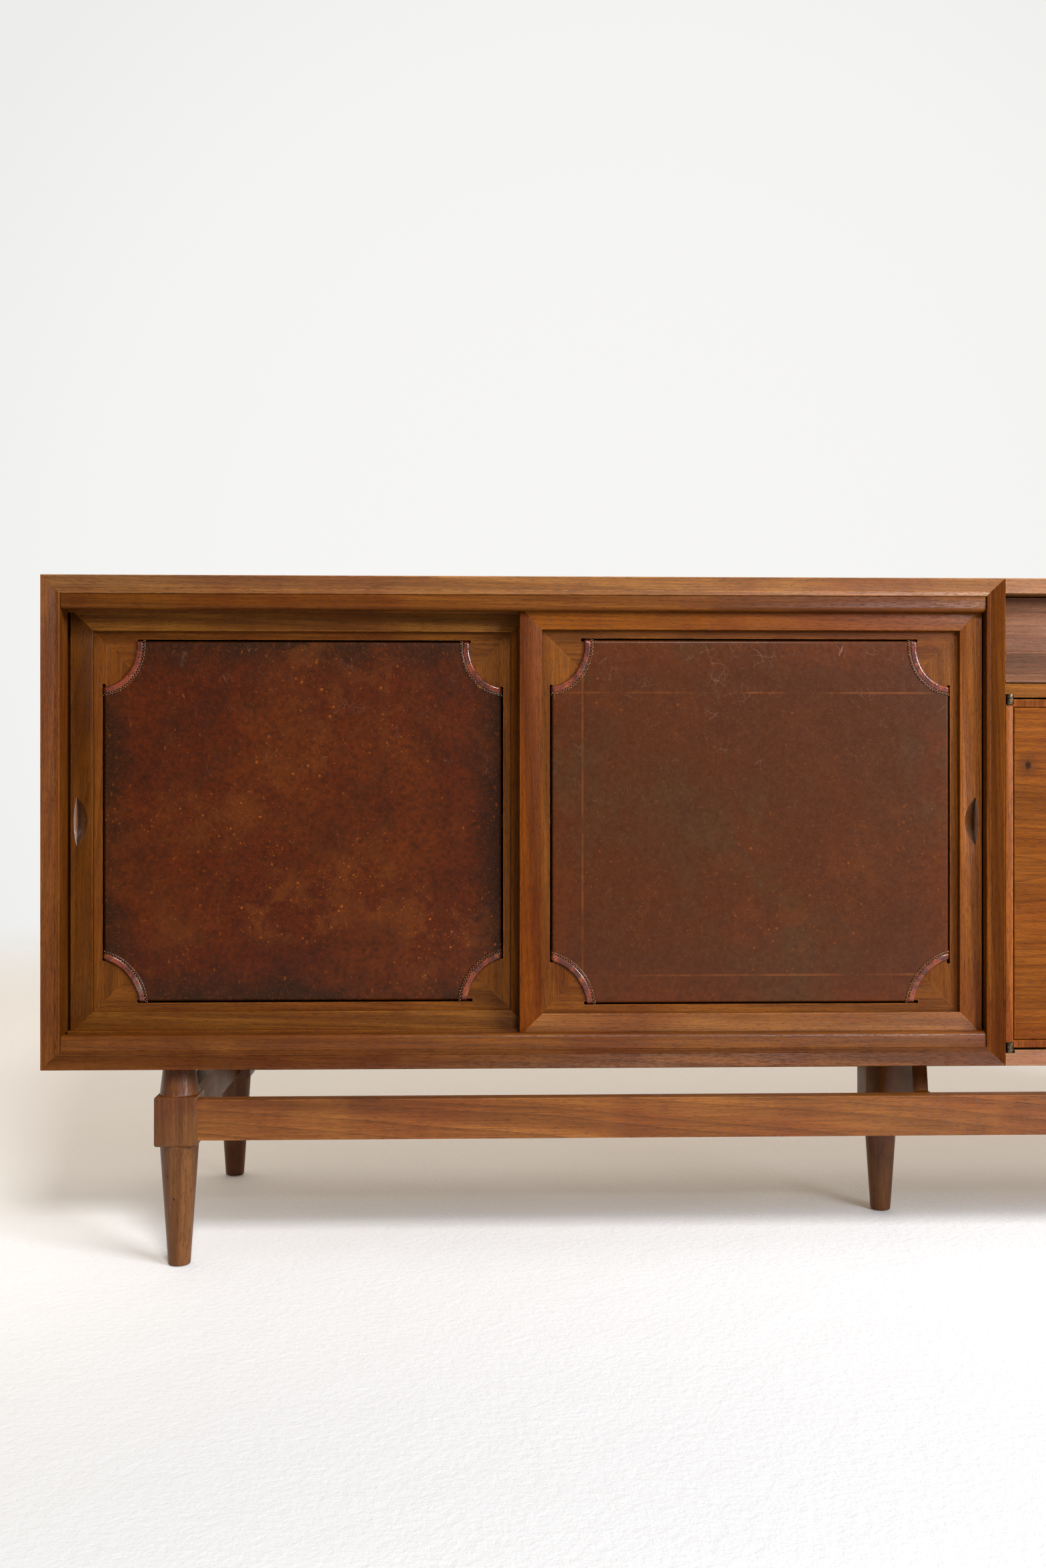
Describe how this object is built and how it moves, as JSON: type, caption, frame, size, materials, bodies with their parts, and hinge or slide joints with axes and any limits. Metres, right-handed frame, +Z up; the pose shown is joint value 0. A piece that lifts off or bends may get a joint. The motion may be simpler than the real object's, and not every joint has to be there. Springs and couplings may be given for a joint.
{
  "type": "sideboard buffet",
  "caption": "Long walnut sideboard on turned legs with leather-faced sliding doors in a mitred frame, recessed drawers over hinged doors.",
  "frame": {"origin": "on the floor under the middle of the case", "axes": "+X along the length to the right seen from the front, +Y from front to back, +Z up"},
  "size_m": [2.06, 0.5, 0.8],
  "materials": {
    "walnut_case": "oiled walnut, satin",
    "walnut_frame": "waxed walnut, satin",
    "walnut_base": "waxed walnut, satin, worn",
    "walnut_sliding_door": "waxed walnut, satin",
    "walnut_fronts": "waxed walnut, satin",
    "inside_wood": "bare, dull",
    "back_plywood": "bare, dull",
    "leather_left": "aged, crazed, soft sheen",
    "leather_right": "aged, crazed, soft sheen",
    "leather_binding": "polished, glossy",
    "dark_brass": "aged, dark",
    "screw_steel": "dull"
  },
  "bodies": {
    "case": {"top_board": "walnut_case", "bottom_board": "walnut_case", "side_left": "walnut_case", "side_right": "walnut_case", "partition": "walnut_case", "drawer_divider": "walnut_case", "frame_top": "walnut_frame", "frame_bottom": "walnut_frame", "frame_left": "walnut_frame", "frame_right": "walnut_frame", "right_bay_edging": "walnut_frame", "track_top": "walnut_frame", "track_bottom": "walnut_frame", "drawer_deck": "walnut_frame", "leg_front_left": "walnut_base", "leg_front_right": "walnut_base", "leg_rear_left": "walnut_base", "leg_rear_right": "walnut_base", "leg_center": "walnut_base", "rail_front": "walnut_base", "rail_rear": "walnut_base", "rail_left": "walnut_base", "rail_right": "walnut_base", "center_bearers": "walnut_base", "shelf_left": "inside_wood", "shelf_right": "inside_wood", "shelf_battens": "inside_wood", "back_panel_left": "back_plywood", "back_panel_right": "back_plywood", "case_hinges": "dark_brass", "door_catches": "dark_brass", "back_screws": "screw_steel", "base_screws": "screw_steel"},
    "sliding_door_left": {"sliding_left_stiles": "walnut_sliding_door", "sliding_left_rails": "walnut_sliding_door", "sliding_left_panel": "walnut_sliding_door", "sliding_left_leather": "leather_left", "sliding_left_bindings": "leather_binding"},
    "sliding_door_right": {"sliding_right_stiles": "walnut_sliding_door", "sliding_right_rails": "walnut_sliding_door", "sliding_right_panel": "walnut_sliding_door", "sliding_right_leather": "leather_right", "sliding_right_bindings": "leather_binding"},
    "drawer_left": {"drawer_left_front": "walnut_fronts", "drawer_left_box": "inside_wood", "drawer_left_bottom": "inside_wood"},
    "drawer_right": {"drawer_right_front": "walnut_fronts", "drawer_right_box": "inside_wood", "drawer_right_bottom": "inside_wood"},
    "hinged_door_left": {"hinged_left_lipping": "walnut_fronts", "hinged_left_panel": "walnut_fronts", "hinged_left_hinges": "dark_brass"},
    "hinged_door_right": {"hinged_right_lipping": "walnut_fronts", "hinged_right_panel": "walnut_fronts", "hinged_right_hinges": "dark_brass"}
  },
  "joints": [
    {"name": "left_door_slide", "type": "slide", "parent": "case", "child": "sliding_door_left", "axis": [1, 0, 0], "range_m": [0, 0.523]},
    {"name": "right_door_slide", "type": "slide", "parent": "case", "child": "sliding_door_right", "axis": [1, 0, 0], "range_m": [-0.523, 0]},
    {"name": "left_drawer_slide", "type": "slide", "parent": "case", "child": "drawer_left", "axis": [0, -1, 0], "range_m": [0, 0.33]},
    {"name": "right_drawer_slide", "type": "slide", "parent": "case", "child": "drawer_right", "axis": [0, -1, 0], "range_m": [0, 0.33]},
    {"name": "left_door_hinge", "type": "hinge", "parent": "case", "child": "hinged_door_left", "pos_m": [0.0863, -0.245, 0.45725], "axis": [0, 0, -1], "range_deg": [0, 100]},
    {"name": "right_door_hinge", "type": "hinge", "parent": "case", "child": "hinged_door_right", "pos_m": [1.0062, -0.245, 0.45725], "axis": [0, 0, 1], "range_deg": [0, 100]}
  ]
}
